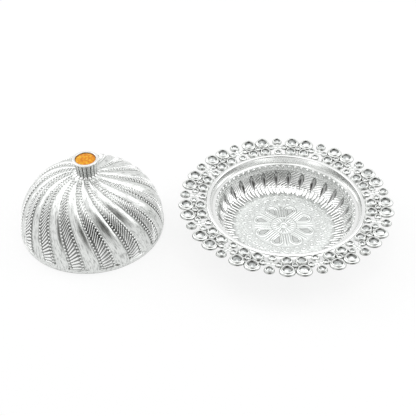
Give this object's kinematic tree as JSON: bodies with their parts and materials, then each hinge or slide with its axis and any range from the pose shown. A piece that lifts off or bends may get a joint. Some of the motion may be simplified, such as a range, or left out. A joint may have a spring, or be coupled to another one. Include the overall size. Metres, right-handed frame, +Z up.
{
  "type": "dry fruit box",
  "caption": "Round plated dish with a pierced lace rim set with stones, and a domed swirl lid with a ribbed finial, shown open with the lid beside the dish.",
  "frame": {"origin": "middle of the dish's flat base, on the surface that it stands on", "axes": "+Z up along the dish's axis; +X from the lid, which stands beside the dish, towards the dish; -Y towards the viewer of the picture"},
  "size_m": [0.3166, 0.18, 0.0713],
  "materials": {
    "silver_plate": "bright silver plating over a casting, worn soft on the raised work",
    "foiled_stone": "clear faceted glass over a bright foil",
    "amber_glass": "polished amber glass over a foil",
    "plain_steel": "turned steel"
  },
  "bodies": {
    "dish": {"dish_bowl": "silver_plate", "lace_rim": "silver_plate", "rim_stone_01": "foiled_stone", "rim_stone_02": "foiled_stone", "rim_stone_03": "foiled_stone", "rim_stone_04": "foiled_stone", "rim_stone_05": "foiled_stone", "rim_stone_06": "foiled_stone", "rim_stone_07": "foiled_stone", "rim_stone_08": "foiled_stone", "rim_stone_09": "foiled_stone", "rim_stone_10": "foiled_stone", "rim_stone_11": "foiled_stone", "rim_stone_12": "foiled_stone", "rim_stone_13": "foiled_stone", "rim_stone_14": "foiled_stone", "rim_stone_15": "foiled_stone", "rim_stone_16": "foiled_stone", "rim_stone_17": "foiled_stone", "rim_stone_18": "foiled_stone", "rim_stone_19": "foiled_stone", "rim_stone_20": "foiled_stone", "rim_stone_21": "foiled_stone", "rim_stone_22": "foiled_stone", "rim_stone_23": "foiled_stone", "rim_stone_24": "foiled_stone", "rim_stone_25": "foiled_stone", "rim_stone_26": "foiled_stone", "rim_stone_27": "foiled_stone", "rim_stone_28": "foiled_stone", "rim_stone_29": "foiled_stone", "rim_stone_30": "foiled_stone", "rim_stone_31": "foiled_stone", "rim_stone_32": "foiled_stone", "rim_stone_33": "foiled_stone", "rim_stone_34": "foiled_stone", "rim_stone_35": "foiled_stone", "rim_stone_36": "foiled_stone", "rim_stone_37": "foiled_stone", "rim_stone_38": "foiled_stone", "rim_stone_39": "foiled_stone"},
    "lid": {"lid_dome": "silver_plate", "finial_neck": "silver_plate", "amber_stone": "amber_glass", "finial_screw": "plain_steel", "finial_washer": "plain_steel"}
  },
  "joints": [
    {"name": "lid_lift", "type": "slide", "parent": "dish", "child": "lid", "axis": [0, 0, 1], "range_m": [0, 0.12]}
  ]
}
